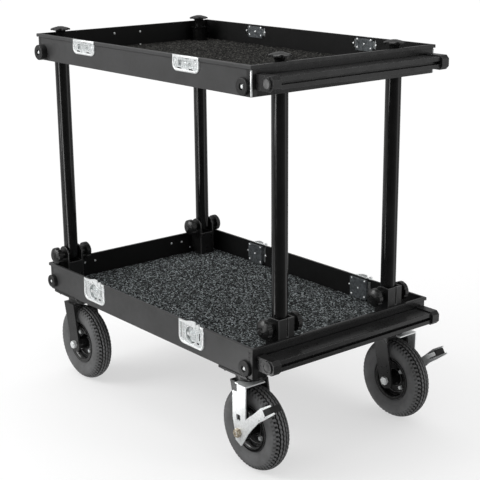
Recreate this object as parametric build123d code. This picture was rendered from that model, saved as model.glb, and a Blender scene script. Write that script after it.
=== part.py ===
from build123d import *
import os
from math import cos, radians, sin, sqrt

# Two-deck folding equipment cart.  Millimetres, +Z up.  +X is the front, the end that carries the
# accessory bars; -Y is the right.  The origin is on the floor, in the middle of the whole cart,
# from the rear tyres to the tips of the brake levers.  Everything is drawn from the centre of the
# trays, which lies a little behind that point, and is moved to the origin when it is saved.
# The lower tray stands on four swivel casters.  Four posts hinge in brackets on the lower tray
# and hold the upper tray, which lifts off and turns over to close the folded cart as a lid.
# Every cut runs 1 mm past the faces that it opens.

os.makedirs("parts", exist_ok=True)

# trays
tray_length = 894.0
tray_width = 572.0
lower_rim = 324.0
upper_rim = 959.0
lower_wall = 75.0
upper_wall = 68.0
rail_web = 4.0
lip_overhang = 3.0
lip_height = 8.0
lip_edge_radius = 1.5
groove_height = 2.0
groove_depth = 1.0
corner_post_width = 15.0
corner_post_radius = 3.0
board_thickness = 8.0
carpet_thickness = 8.0
fit_gap = 0.5

# posts, their brackets and knobs
post_diameter = 38.1
post_bore = 32.0
post_solid_foot = 30.0
post_plug = 15.0
post_x = 415.0
front_post_y = 178.0
rear_post_y = 231.0
pivot_height = 24.0
post_top_gap = 1.0
ear_gap = 39.0
ear_thickness = 4.0
bracket_ear_radius = 23.0
front_web_rise = 23.0
rear_web_rise = 6.0
bracket_slot_width = 5.0
bracket_slot_offset = 3.5
bracket_slot_depth = 2.5
stud_diameter = 10.0
running_gap = 0.05
face_gap = 0.1
clamp_knob_diameter = 46.0
clamp_knob_thickness = 20.0
clamp_knob_offset = 40.0
clamp_hub_diameter = 24.0
clamp_dome_radius = 34.0
star_knob_diameter = 52.0
star_knob_thickness = 9.0
star_head_rise = 8.0
star_dome_radius = 60.0
star_stem_radius = 9.0
star_flare_radius = 14.0
star_stud_gap = 6.0
socket_flange = 50.0
socket_cap = 44.0
socket_cap_thickness = 4.0
socket_floor = 4.0
socket_height_below_rim = 14.0

# latches on the long walls
latch_x = 215.0
latch_plate_width = 99.0
latch_plate_height = 60.0
latch_corner_radius = 18.0
latch_well_diameter = 46.0
latch_well_depth = 3.0
latch_well_wall = 2.0
catch_plate_width = 100.0
catch_plate_height = 37.0
catch_corner_radius = 16.0
catch_pan_width = 60.0
catch_pan_depth = 4.0
catch_pan_wall = 3.0
keeper_width = 22.0
plate_thickness = 2.0
window_side_margin = 10.0
window_low_margin = 9.0
window_high_margin = 6.0
window_play = 0.2
butterfly_radius = 19.0
butterfly_disc_thickness = 3.0
butterfly_boss_diameter = 14.0
butterfly_boss_height = 7.0
butterfly_wing_width = 8.0
butterfly_wing_height = 9.0
back_plate_width = 60.0
back_plate_border = 3.0
back_plate_wall = 1.5
back_plate_depth_lower = 7.0
back_plate_depth_upper = 2.0
rivet_diameter = 6.0
rivet_dome_radius = 3.6
rivet_dome_sink = 2.0
plate_rivet_x = 24.0
wall_rivet_x = 40.0

# bumpers on the long walls
bumper_x = 418.0
bumper_diameter = 40.0
bumper_height = 21.0
front_bumper_length = 7.0
rear_bumper_length = 18.0
small_bumper_x = 426.0
small_bumper_diameter = 35.0
small_bumper_height = 26.0
small_bumper_length = 12.0
bumper_edge_radius = 3.0
bumper_recess_diameter = 15.0
bumper_recess_depth = 4.0

# accessory bars on the front walls
bar_drop = 22.0
bar_height = 27.0
bar_depth = 50.0
block_drop = 19.0
block_height = 34.0
block_depth = 56.0
block_thickness = 23.0
block_outer_y = 272.0
block_chamfer = 8.0
boss_setback = 35.5
boss_diameter = 30.0
boss_height = 3.0
boss_recess_diameter = 22.0
boss_recess_depth = 1.5
slot_mouth = 8.0
slot_mouth_depth = 3.0
slot_width = 15.0
slot_depth = 9.0
score_setback = 5.0
score_width = 2.0
score_depth = 1.0

# casters
caster_x = 372.0
caster_y = 235.0
caster_trail = 24.0
wheel_radius = 105.0
wheel_width = 52.0
bead_radius = 52.0
caster_plate_length = 115.0
caster_plate_width = 100.0
caster_plate_thickness = 5.0
caster_plate_corner = 8.0
bolt_across_flats = 15.0
bolt_head_height = 6.0
bolt_shank = 8.0
bolt_tail = 4.0
bolt_spacing_x = 92.0
bolt_spacing_y = 67.0
race_diameter = 64.0
race_height = 24.0
crown_thickness = 5.0
leg_inner_gap = 66.0
leg_thickness = 5.0
leg_width = 48.0
leg_end_radius = 21.0
kingpin_diameter = 12.0
kingpin_head_diameter = 22.0
kingpin_head_height = 3.0
axle_diameter = 12.0
axle_across_flats = 19.0
axle_head_height = 7.0
axle_nut_height = 9.0
axle_tail = 2.0
spacer_diameter = 20.0
brake_plate_inset = 8.0
brake_thickness = 3.0
brake_window = 14.0
brake_window_back = 12.0
brake_window_rise = 28.0
lever_reach = 126.5
toe_bar_inset = 22.0

corners = {
    "front_right": (1, -1),
    "front_left": (1, 1),
    "rear_right": (-1, -1),
    "rear_left": (-1, 1),
}

inner_length = tray_length - 2 * (lip_overhang + rail_web)
inner_width = tray_width - 2 * (lip_overhang + rail_web)
wall_x = tray_length / 2 - lip_overhang
wall_y = tray_width / 2 - lip_overhang
lower_bottom = lower_rim - lower_wall
upper_bottom = upper_rim - upper_wall
pivot_z = lower_rim + pivot_height
clearance_bore = stud_diameter + 2 * running_gap
middle_x = caster_trail + (lever_reach - wheel_radius) / 2


def block(x0, x1, y0, y1, z0, z1):
    """A box between two opposite corners, given in any order."""
    centre = Pos((x0 + x1) / 2, (y0 + y1) / 2, (z0 + z1) / 2)
    return centre * Box(abs(x1 - x0), abs(y1 - y0), abs(z1 - z0))


def rod_z(x, y, z0, z1, diameter):
    """An upright cylinder."""
    return Pos(x, y, (z0 + z1) / 2) * Cylinder(diameter / 2, abs(z1 - z0))


def rod_y(x, z, y0, y1, diameter):
    """A cylinder whose axis runs across the cart."""
    return Pos(x, (y0 + y1) / 2, z) * Rot(90, 0, 0) * Cylinder(diameter / 2, abs(y1 - y0))


def slab_y(face, y0, y1):
    """Extrude a face drawn as (x, z) from y0 to y1."""
    low = min(y0, y1)
    return Pos(0, low, 0) * Rot(90, 0, 0) * extrude(face, -abs(y1 - y0))


def hexagon_y(x, z, y0, y1, across_flats):
    """A hexagonal nut or bolt head whose axis runs across the cart."""
    face = Pos(x, z) * RegularPolygon(across_flats / sqrt(3), 6)
    return slab_y(face, y0, y1)


def lobed_disc(diameter, lobes, scallop_diameter, scallop_depth):
    """The outline of a hand knob: a disc with evenly spaced scallops."""
    face = Circle(diameter / 2)
    reach = diameter / 2 + scallop_diameter / 2 - scallop_depth
    for lobe in range(lobes):
        angle = radians(360 * (lobe + 0.5) / lobes)
        face -= Pos(reach * cos(angle), reach * sin(angle)) * Circle(scallop_diameter / 2)
    return face


def save(name, solids):
    """Write one node's STEP file about the origin; a group of alike pieces is one file."""
    shape = solids[0] if len(solids) == 1 else Compound(solids)
    export_step(Pos(-middle_x, 0, 0) * shape, f"parts/{name}.step")


def post_place(sx, sy):
    """Plan position of one post's axis."""
    return sx * post_x, sy * (front_post_y if sx > 0 else rear_post_y)


def latch_places():
    """Plan sides of the four latches: x of the centre, and which long wall."""
    return [(sx * latch_x, sy) for sx in (1, -1) for sy in (-1, 1)]


# ---------------------------------------------------------------- trays

def tray_frame(rim, wall):
    """The closed ring of rail section, before it is mitred into four rails."""
    bottom = rim - wall
    ring = block(-wall_x, wall_x, -wall_y, wall_y, bottom, rim)
    groove_top = rim - lip_height
    band = block(-wall_x, wall_x, -wall_y, wall_y, groove_top - groove_height, groove_top)
    core_x = wall_x - groove_depth
    core_y = wall_y - groove_depth
    band -= block(-core_x, core_x, -core_y, core_y, groove_top - groove_height, groove_top)
    lip = Pos(0, 0, rim - lip_height / 2) * Box(tray_length, tray_width, lip_height)
    lip = fillet(lip.edges().group_by(Axis.Z)[-1], lip_edge_radius)
    cavity = block(-inner_length / 2, inner_length / 2, -inner_width / 2, inner_width / 2,
                   bottom - 1, rim + 1)
    return ring - band + lip - cavity


def mitre_wedge(side, rim, wall):
    """The end region of a tray, bounded by the two 45 degree mitre planes."""
    reach = tray_width / 2
    apex = side * (tray_length / 2 - reach)
    outer = side * (tray_length / 2 + 1)
    half = reach + 1
    face = make_face(Polyline((apex, 0), (outer, half), (outer, -half), close=True))
    return Pos(0, 0, rim - wall - 1) * extrude(face, wall + 2)


def corner_post(sx, sy, rim, wall):
    """An angle section closing one corner below the lip."""
    top = rim - lip_height - groove_height
    bottom = rim - wall
    x_out, y_out = sx * wall_x, sy * wall_y
    x_in, y_in = x_out - sx * corner_post_width, y_out - sy * corner_post_width
    angle = block(x_in, x_out, y_in, y_out, bottom, top)
    edge = angle.edges().filter_by(Axis.Z).sort_by_distance((x_out, y_out, (top + bottom) / 2))[0]
    angle = fillet(edge, corner_post_radius)
    return angle - block(x_in - sx, x_out - sx * rail_web, y_in - sy, y_out - sy * rail_web,
                         bottom - 1, top + 1)


def plate_cuts(rim, width, height):
    """Seats for the latch plates: the lip is milled flush and a window goes through the web."""
    cuts = []
    for x, sy in latch_places():
        outside = sy * (wall_y + lip_overhang + 1)
        cuts.append(block(x - width / 2, x + width / 2, sy * wall_y, outside,
                          rim - lip_height - 1, rim + 1))
        half = width / 2 - window_side_margin
        cuts.append(block(x - half, x + half, sy * (wall_y - rail_web - 1), outside,
                          rim - height + window_low_margin, rim - window_high_margin))
    return cuts


def build_tray(level, rim, wall, plate_width, plate_height):
    """Rails, corner posts, board and carpet of one tray."""
    frame = tray_frame(rim, wall)
    posts = [corner_post(sx, sy, rim, wall) for sx, sy in corners.values()]
    for sx, sy in corners.values():
        x_out, y_out = sx * wall_x, sy * wall_y
        frame -= block(x_out + sx, x_out - sx * corner_post_width, y_out + sy,
                       y_out - sy * corner_post_width, rim - wall - 1,
                       rim - lip_height - groove_height)
    ends = [frame & mitre_wedge(side, rim, wall) for side in (1, -1)]
    sides = frame - mitre_wedge(1, rim, wall) - mitre_wedge(-1, rim, wall)
    for cut in plate_cuts(rim, plate_width, plate_height):
        sides -= cut
    save(f"side_rails_{level}", list(sides.solids()))
    save(f"end_rails_{level}", [solid for piece in ends + posts for solid in piece.solids()])

    bottom = rim - wall
    board = block(-inner_length / 2, inner_length / 2, -inner_width / 2, inner_width / 2,
                  bottom, bottom + board_thickness)
    save(f"deck_board_{level}", [board])
    top = bottom + board_thickness + carpet_thickness
    half_x, half_y = inner_length / 2 - fit_gap, inner_width / 2 - fit_gap
    carpet = block(-half_x, half_x, -half_y, half_y, bottom + board_thickness, top)
    for sx, sy in corners.values():
        x, y = post_place(sx, sy)
        carpet -= carpet_opening(level, x, y, sx, bottom + board_thickness, top)
    save(f"carpet_{level}", [carpet])


def carpet_opening(level, x, y, sx, z0, z1):
    """The hole that lets a bracket or a socket stand directly on the board."""
    if level == "upper":
        return rod_z(x, y, z0 - 1, z1 + 1, socket_flange + 2 * fit_gap)
    half = ear_gap / 2 + ear_thickness + fit_gap
    inner = x - sx * (bracket_ear_radius + fit_gap)
    return block(inner, sx * tray_length / 2, y - half, y + half, z0 - 1, z1 + 1)


# ---------------------------------------------------------------- posts and knobs

bracket_outer_x = inner_length / 2 - fit_gap


def post_bracket(sx, sy):
    """A machined block: solid below the post, two ears and an outer wall beside it."""
    x, y = post_place(sx, sy)
    floor_z = lower_bottom + board_thickness
    half = ear_gap / 2 + ear_thickness
    outer = sx * bracket_outer_x
    inner = x - sx * bracket_ear_radius
    web_top = pivot_z + (front_web_rise if sx > 0 else rear_web_rise)
    body = block(inner, outer, y - half, y + half, floor_z, pivot_z)
    for side in (-1, 1):
        body += rod_y(x, pivot_z, y + side * ear_gap / 2, y + side * half, 2 * bracket_ear_radius)
    body += block(x, outer, y - half, y + half, pivot_z, web_top)
    seat_z = pivot_z - post_diameter / 2 - fit_gap
    wall_inside = x + sx * (ear_gap / 2)
    body -= block(inner - sx, wall_inside, y - ear_gap / 2, y + ear_gap / 2, seat_z, web_top + 1)
    body -= rod_y(x, pivot_z, y - half - 1, y + half + 1, clearance_bore)
    slot_y = y + bracket_slot_offset
    slot = block(outer + sx, outer - sx * bracket_slot_depth, slot_y - bracket_slot_width / 2,
                 slot_y + bracket_slot_width / 2, lower_rim + 1, web_top + 1)
    return body - slot


def post_tube(sx, sy):
    """A tube with a rounded pivot end and a plugged, bored upper end."""
    x, y = post_place(sx, sy)
    top = upper_bottom - post_top_gap
    tube = rod_z(x, y, pivot_z, top, post_diameter)
    tube += Pos(x, y, pivot_z) * Sphere(post_diameter / 2)
    tube -= rod_z(x, y, pivot_z + post_solid_foot, top - post_plug, post_bore)
    tube -= rod_z(x, y, top - post_plug - 1, top + 1, stud_diameter)
    return tube - rod_y(x, pivot_z, y - post_diameter, y + post_diameter, clearance_bore)


def clamp_knob(with_stud):
    """A domed hand knob facing +Y from the pivot; the bolt half carries the stud right through."""
    hub_start = ear_gap / 2 + ear_thickness + face_gap
    head_end = clamp_knob_offset + clamp_knob_thickness
    stud_reach = clamp_knob_offset + clamp_knob_thickness / 2
    hub = rod_y(0, 0, hub_start, clamp_knob_offset, clamp_hub_diameter)
    outline = lobed_disc(clamp_knob_diameter, lobes=8, scallop_diameter=9, scallop_depth=2)
    head = slab_y(outline, clamp_knob_offset, head_end)
    dome = Pos(0, head_end - clamp_dome_radius, 0) * Sphere(clamp_dome_radius)
    knob = hub + (head & dome)
    if with_stud:
        return knob + rod_y(0, 0, hub_start, -stud_reach, stud_diameter)
    return knob - rod_y(0, 0, hub_start - 1, stud_reach + face_gap, clearance_bore)


def place_knob(knob, x, y, side):
    """Put a clamp knob at a post's pivot, facing +Y or turned round to face -Y."""
    return Pos(x, y, pivot_z) * Rot(0, 0, 0 if side > 0 else 180) * knob


def post_socket(sx, sy):
    """The spacer above the upper board, flanged at both ends, that the star knob bears on."""
    x, y = post_place(sx, sy)
    z0 = upper_bottom + board_thickness
    top = upper_rim - socket_height_below_rim
    socket = rod_z(x, y, z0, top, post_diameter)
    socket += rod_z(x, y, z0, z0 + carpet_thickness, socket_flange)
    socket += rod_z(x, y, top - socket_cap_thickness, top, socket_cap)
    return socket - rod_z(x, y, z0 + socket_floor, top + 1, clearance_bore)


def star_knob(sx, sy):
    """A flat lobed knob with a flared stem and a stud that ends inside the socket."""
    x, y = post_place(sx, sy)
    seat = upper_rim - socket_height_below_rim + face_gap
    head_z = upper_rim + star_head_rise
    outline = lobed_disc(star_knob_diameter, lobes=6, scallop_diameter=15, scallop_depth=4.5)
    head = Pos(x, y, head_z) * extrude(outline, star_knob_thickness)
    dome = Pos(x, y, head_z + star_knob_thickness - star_dome_radius) * Sphere(star_dome_radius)
    flare_height = head_z - seat
    flare = Pos(x, y, seat + flare_height / 2) * Cone(star_stem_radius, star_flare_radius, flare_height)
    stud = rod_z(x, y, upper_bottom + board_thickness + star_stud_gap, seat, stud_diameter)
    return (head & dome) + flare + stud


# ---------------------------------------------------------------- latches, bumpers, bars

def plate_outline(x, rim, width, height, radius):
    """A plate with square top corners at the rim and rounded lower corners."""
    face = Pos(x, rim - height / 2) * Rectangle(width, height)
    low = face.vertices().sort_by(Axis.Y)[:2]
    return fillet(low, radius)


def latch_dish(x, sy):
    """A pressed dish: a flange on the wall face and a round well behind it."""
    y0 = sy * wall_y
    size = (latch_plate_width, latch_plate_height)
    flange = slab_y(plate_outline(x, lower_rim, *size, latch_corner_radius), y0, y0 + sy * plate_thickness)
    well_z = lower_rim - latch_plate_height / 2
    well_floor = rail_web + latch_well_depth
    well = rod_y(x, well_z, y0 - sy * (well_floor + latch_well_wall), y0, latch_well_diameter)
    hollow = rod_y(x, well_z, y0 - sy * well_floor, y0 + sy * (plate_thickness + 1),
                   latch_well_diameter - 2 * latch_well_wall)
    return flange + clip_to_window(well, x, lower_rim, *size) - hollow


def clip_to_window(shape, x, rim, width, height):
    """Keep only what passes through the window in the wall."""
    half = width / 2 - window_side_margin - window_play
    return shape & block(x - half, x + half, -tray_width, tray_width,
                         rim - height + window_low_margin + window_play,
                         rim - window_high_margin - window_play)


def butterfly(x, sy):
    """The folding key of a latch: a round disc with a raised wing, turning in the dish."""
    y_back = sy * (wall_y - rail_web - latch_well_depth + face_gap)
    z = lower_rim - latch_plate_height / 2
    disc = rod_y(x, z, y_back, y_back + sy * butterfly_disc_thickness, 2 * butterfly_radius)
    boss = rod_y(x, z, y_back, y_back + sy * butterfly_boss_height, butterfly_boss_diameter)
    wing_face = Pos(x, z) * Rectangle(2 * butterfly_radius - 4, butterfly_wing_width)
    wing_face = fillet(wing_face.vertices(), 3)
    wing = slab_y(wing_face, y_back, y_back + sy * butterfly_wing_height)
    return disc + boss + wing


def catch_plate(x, sy):
    """The mating plate on the upper tray, with a shallow pressed recess."""
    y0 = sy * wall_y
    size = (catch_plate_width, catch_plate_height)
    plate = slab_y(plate_outline(x, upper_rim, *size, catch_corner_radius), y0, y0 + sy * plate_thickness)
    half = catch_pan_width / 2
    low, high = upper_rim - catch_plate_height + 10, upper_rim - 8
    pan = clip_to_window(block(x - half, x + half, y0 - sy * catch_pan_depth, y0, low, high), x,
                         upper_rim, *size)
    half -= catch_pan_wall
    recess = block(x - half, x + half, y0 - sy * 2.5, y0 + sy * (plate_thickness + 1),
                   low + catch_pan_wall, high - catch_pan_wall)
    keeper = block(x - keeper_width / 2, x + keeper_width / 2, y0 - sy * 3,
                   y0 + sy * plate_thickness, upper_rim - 20, upper_rim - 16)
    return plate + pan - recess + keeper


def back_plate(x, sy, rim, height, depth):
    """The plate behind the wall that the latch rivets clench on."""
    y_in = sy * inner_width / 2
    half = back_plate_width / 2
    low, high = rim - height + 2, rim - 4
    shell = block(x - half, x + half, y_in, y_in - sy * depth, low, high)
    half -= back_plate_border
    hollow = block(x - half, x + half, y_in + sy, y_in - sy * (depth - back_plate_wall),
                   low + back_plate_border, high - back_plate_border)
    return shell - hollow


def back_plates(rim, height, depth):
    """Back plates with their dome-headed rivets: five on each plate, two in the wall beside it."""
    heads = [back_plate(x, sy, rim, height, depth) for x, sy in latch_places()]
    for x, sy in latch_places():
        y_plate = sy * (inner_width / 2 - depth)
        for dx in (-plate_rivet_x, plate_rivet_x):
            for dz in (7, height - 9):
                heads.append(rivet_head(x + dx, rim - dz, y_plate, -sy))
        y_wall = sy * inner_width / 2
        for dx in (-wall_rivet_x, wall_rivet_x):
            heads.append(rivet_head(x + dx, rim - height / 2, y_wall, -sy))
        heads.append(rivet_head(x, rim - height / 2, y_plate, -sy))
    return heads


def rivet_head(x, z, y, direction):
    """One domed rivet head standing on a face across the cart."""
    dome = Pos(x, y - direction * rivet_dome_sink, z) * Sphere(rivet_dome_radius)
    return dome & rod_y(x, z, y, y + direction * rivet_dome_radius, rivet_diameter)


def bumper(level, sx, sy, rim, wall):
    """A round rubber foot on the long wall; the rear ones of the lower tray are smaller."""
    x, z, diameter = sx * bumper_x, rim - wall + bumper_height, bumper_diameter
    length = front_bumper_length if sx > 0 else rear_bumper_length
    if level == "lower" and sx < 0:
        x, z = sx * small_bumper_x, rim - wall + small_bumper_height
        diameter, length = small_bumper_diameter, small_bumper_length
    y0 = sy * wall_y
    y1 = y0 + sy * length
    foot = rod_y(x, z, y0, y1, diameter)
    rims = foot.edges().filter_by(GeomType.CIRCLE).sort_by(Axis.Y)
    foot = fillet(rims[-1] if sy > 0 else rims[0], bumper_edge_radius)
    return foot - rod_y(x, z, y1 - sy * bumper_recess_depth, y1 + sy, bumper_recess_diameter)


def end_block(sy, rim):
    """One end of an accessory bar: an eight-sided nose and a round boss."""
    top = rim - block_drop
    x0 = tray_length / 2
    low = top - block_height
    nose = x0 + block_depth
    face = make_face(Polyline((x0, top), (x0, low), (nose, low), (nose, top), close=True))
    face = chamfer(face.vertices().group_by(Axis.X)[-1], block_chamfer)
    y0 = sy * (block_outer_y - block_thickness)
    y1 = sy * block_outer_y
    boss_x = x0 + boss_setback
    boss_z = top - block_height / 2
    body = slab_y(face, y0, y1) + rod_y(boss_x, boss_z, y1, y1 + sy * boss_height, boss_diameter)
    recess_floor = y1 + sy * (boss_height - boss_recess_depth)
    return body - rod_y(boss_x, boss_z, recess_floor, y1 + sy * (boss_height + 1), boss_recess_diameter)


def accessory_bar(rim):
    """An extruded bar between the end blocks: a T-slot along the front and a score line on top."""
    x0 = tray_length / 2
    x1 = x0 + bar_depth
    top = rim - bar_drop
    mid = top - bar_height / 2
    half = block_outer_y - block_thickness
    bar = block(x0, x1, -half, half, top - bar_height, top)
    bar -= block(x1 - slot_mouth_depth, x1 + 1, -half - 1, half + 1, mid - slot_mouth / 2,
                 mid + slot_mouth / 2)
    bar -= block(x1 - slot_depth, x1 - slot_mouth_depth, -half - 1, half + 1,
                 mid - slot_width / 2, mid + slot_width / 2)
    score = x1 - score_setback
    return bar - block(score, score + score_width, -half - 1, half + 1, top - score_depth, top + 1)


# ---------------------------------------------------------------- casters

plate_bottom = lower_bottom - caster_plate_thickness
crown_top = plate_bottom - race_height
crown_bottom = crown_top - crown_thickness


def caster_plate(sx, sy):
    """Mounting plate with the kingpin riveted into it."""
    x, y = sx * caster_x, sy * caster_y
    plate = Pos(x, y, lower_bottom - caster_plate_thickness / 2) * Box(
        caster_plate_length, caster_plate_width, caster_plate_thickness)
    plate = fillet(plate.edges().filter_by(Axis.Z), caster_plate_corner)
    head_top = crown_bottom - face_gap
    pin = rod_z(x, y, head_top, plate_bottom, kingpin_diameter)
    return plate + pin + rod_z(x, y, head_top - kingpin_head_height, head_top, kingpin_head_diameter)


def caster_bolts(sx, sy):
    """Four hex heads under one mounting plate."""
    heads = []
    for dx in (-1, 1):
        for dy in (-1, 1):
            x = sx * caster_x + dx * bolt_spacing_x / 2
            y = sy * caster_y + dy * bolt_spacing_y / 2
            head_low = plate_bottom - bolt_head_height
            outline = RegularPolygon(bolt_across_flats / sqrt(3), 6)
            head = Pos(x, y, head_low) * extrude(outline, bolt_head_height)
            heads.append(head + rod_z(x, y, head_low - bolt_tail, head_low, bolt_shank))
    return heads


def leg_outline(x, axle_x):
    """Side view of a fork leg, from the crown to a round end at the axle."""
    half = leg_width / 2
    end = leg_end_radius
    face = make_face(Polyline((x - half, crown_top), (axle_x - end, wheel_radius),
                              (axle_x + end, wheel_radius), (x + half, crown_top), close=True))
    return face + Pos(axle_x, wheel_radius) * Circle(end)


def caster_fork(sx, sy):
    """Swivel race, crown and two legs."""
    x, y = sx * caster_x, sy * caster_y
    axle_x = x + caster_trail
    inner = leg_inner_gap / 2
    outer = inner + leg_thickness
    fork = rod_z(x, y, crown_top, plate_bottom - face_gap, race_diameter)
    fork += block(x - leg_width / 2, x + leg_width / 2, y - outer, y + outer, crown_bottom, crown_top)
    for side in (-1, 1):
        fork += slab_y(leg_outline(x, axle_x), y + side * inner, y + side * outer)
        fork -= rod_y(axle_x, wheel_radius, y + side * (inner - 1), y + side * (outer + 1),
                      axle_diameter)
    fork -= rod_z(x, y, crown_bottom - 1, plate_bottom, kingpin_diameter + 2 * running_gap)
    return fork


def axle(sx, sy):
    """Axle bolt, its nut, and on a braked caster the spacer under the brake plate."""
    axle_x = sx * caster_x + caster_trail
    y = sy * caster_y
    outer = leg_inner_gap / 2 + leg_thickness
    nut_start = outer
    if sx > 0:
        nut_start += brake_plate_inset + 2 * brake_thickness + 2 * face_gap
    nut_end = nut_start + axle_nut_height
    at = (axle_x, wheel_radius)
    bolt = rod_y(*at, y - sy * outer, y + sy * (nut_end + axle_tail), axle_diameter)
    bolt += hexagon_y(*at, y - sy * outer, y - sy * (outer + axle_head_height), axle_across_flats)
    pieces = [bolt, hexagon_y(*at, y + sy * nut_start, y + sy * nut_end, axle_across_flats) - bolt]
    if sx > 0:
        spacer_end = outer + brake_plate_inset
        pieces.append(rod_y(*at, y + sy * outer, y + sy * spacer_end, spacer_diameter) - bolt)
    return pieces


def revolve_about_axle(points, axle_x, y):
    """Spin a section given as (offset along the axle, radius) about the axle."""
    line = Polyline(*[(offset, radius) for offset, radius in points], close=True)
    solid = revolve(make_face(line), Axis.X)
    return Pos(axle_x, y, wheel_radius) * Rot(0, 0, 90) * solid


def wheel_rim(sx, sy):
    """Split steel rim: barrel with flanges, a centre disc and a bored hub."""
    axle_x = sx * caster_x + caster_trail
    y = sy * caster_y
    bore = axle_diameter / 2 + running_gap
    hub_half = leg_inner_gap / 2 - 0.5
    section = [
        (-hub_half, bore), (hub_half, bore), (hub_half, 13), (12, 19), (3, 22), (3, 40), (15, 46),
        (18, 49), (21, 49), (21, 56), (18, 56), (18, bead_radius), (-18, bead_radius), (-18, 56),
        (-21, 56), (-21, 49), (-18, 49), (-15, 46), (-3, 40), (-3, 22), (-12, 19), (-hub_half, 13),
    ]
    return revolve_about_axle(section, axle_x, y)


def tyre(sx, sy):
    """Pneumatic tyre, a rounded section sitting on the rim between its flanges."""
    axle_x = sx * caster_x + caster_trail
    y = sy * caster_y
    half = wheel_width / 2
    bead = 17.5
    shoulder = 19.0
    shoulder_radius = wheel_radius - 7
    lines = [
        Line((-bead, bead_radius), (bead, bead_radius)),
        Line((bead, bead_radius), (bead, 57)),
        ThreePointArc((bead, 57), (half, 80), (shoulder, shoulder_radius)),
        ThreePointArc((shoulder, shoulder_radius), (0, wheel_radius), (-shoulder, shoulder_radius)),
        ThreePointArc((-shoulder, shoulder_radius), (-half, 80), (-bead, 57)),
        Line((-bead, 57), (-bead, bead_radius)),
    ]
    outline = make_face(Curve() + lines)
    return Pos(axle_x, y, wheel_radius) * Rot(0, 0, 90) * revolve(outline, Axis.X)


brake_plate_y = caster_y + leg_inner_gap / 2 + leg_thickness + brake_plate_inset
front_axle_x = caster_x + caster_trail


def beside_axle(points, radius):
    """A rounded outline given as offsets (x, z) from a front caster's axle."""
    outline = [(front_axle_x + dx, wheel_radius + dz) for dx, dz in points]
    face = make_face(Polyline(*outline, close=True))
    return fillet(face.vertices(), radius)


def brake_plate(sy):
    """Inverted L on a front caster: a top flange on the crown and a leg outside the fork."""
    top = crown_top - wheel_radius + brake_thickness
    leg = beside_axle([(-9, top), (22, top), (20, 34), (18, -10), (8, -24), (-12, -24), (-21, 8),
                       (-26, 32), (-26, top - 21), (-9, top - 21)], 1.5)
    y0 = sy * brake_plate_y
    plate = slab_y(leg, y0, y0 + sy * brake_thickness)
    plate += block(front_axle_x - 20, front_axle_x + 22, sy * (caster_y - 10), y0,
                   crown_top, crown_top + brake_thickness)
    plate -= rod_z(caster_x, sy * caster_y, crown_top - 1, crown_top + 20, race_diameter + 2)
    plate -= rod_y(front_axle_x, wheel_radius, y0 - sy, y0 + sy * 10, axle_diameter)
    window_x = front_axle_x - brake_window_back
    window_z = wheel_radius + brake_window_rise
    return plate - block(window_x, window_x + brake_window, y0 - sy, y0 + sy * 10,
                         window_z, window_z + brake_window)


def brake_lever(sy):
    """Side lever turning on the axle; a toe bar reaches inward over the tread from its fork."""
    y0 = sy * (brake_plate_y + brake_thickness + face_gap)
    y1 = y0 + sy * brake_thickness
    arm = beside_axle([(-14, 8), (-12, -22), (8, -32), (33, 6), (48, 24), (70, 47), (93, 63),
                       (lever_reach, 88), (124, 91.5), (91.5, 69.5), (87.5, 85), (113.5, 102),
                       (111, 105.5), (79, 87), (53, 63), (22, 38), (-6, 18)], 1.5)
    plate = slab_y(arm, y0, y1)
    plate -= rod_y(front_axle_x, wheel_radius, y0 - sy, y1 + sy, axle_diameter + 2 * running_gap)
    toe = beside_axle([(85.5, 69), (114, 87.5), (108.5, 96), (80, 77.5)], 2)
    return plate + slab_y(toe, y1, sy * (caster_y + toe_bar_inset))


build_tray("lower", lower_rim, lower_wall, latch_plate_width, latch_plate_height)
build_tray("upper", upper_rim, upper_wall, catch_plate_width, catch_plate_height)

save("latch_dishes", [latch_dish(x, sy) for x, sy in latch_places()])
save("catch_plates", [catch_plate(x, sy) for x, sy in latch_places()])
save("back_plates_lower", back_plates(lower_rim, latch_plate_height, back_plate_depth_lower))
save("back_plates_upper", back_plates(upper_rim, catch_plate_height, back_plate_depth_upper))
for level, rim, wall in (("lower", lower_rim, lower_wall), ("upper", upper_rim, upper_wall)):
    save(f"bumpers_{level}", [bumper(level, sx, sy, rim, wall) for sx, sy in corners.values()])
    save(f"accessory_bar_{level}", [accessory_bar(rim), end_block(-1, rim), end_block(1, rim)])

save("post_brackets", [post_bracket(*place) for place in corners.values()])
save("post_sockets", [post_socket(*place) for place in corners.values()])
save("caster_plates", [caster_plate(*place) for place in corners.values()])
save("caster_bolts", [head for place in corners.values() for head in caster_bolts(*place)])

for corner, (sx, sy) in corners.items():
    post_at_x, post_at_y = post_place(sx, sy)
    save(f"post_{corner}", [post_tube(sx, sy)])
    save(f"clamp_bolt_{corner}", [place_knob(clamp_knob(True), post_at_x, post_at_y, sy)])
    save(f"clamp_nut_{corner}", [place_knob(clamp_knob(False), post_at_x, post_at_y, -sy)])
    save(f"star_knob_{corner}", [star_knob(sx, sy)])
    save(f"butterfly_{corner}", [butterfly(sx * latch_x, sy)])
    save(f"caster_fork_{corner}", [caster_fork(sx, sy)])
    save(f"axle_{corner}", axle(sx, sy))
    save(f"rim_{corner}", [wheel_rim(sx, sy)])
    save(f"tyre_{corner}", [tyre(sx, sy)])

for side_name, sy in (("right", -1), ("left", 1)):
    save(f"brake_plate_{side_name}", [brake_plate(sy)])
    save(f"brake_lever_{side_name}", [brake_lever(sy)])
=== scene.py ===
import math

import bmesh
import bpy
import numpy as np
from mathutils import Matrix, Vector


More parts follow.
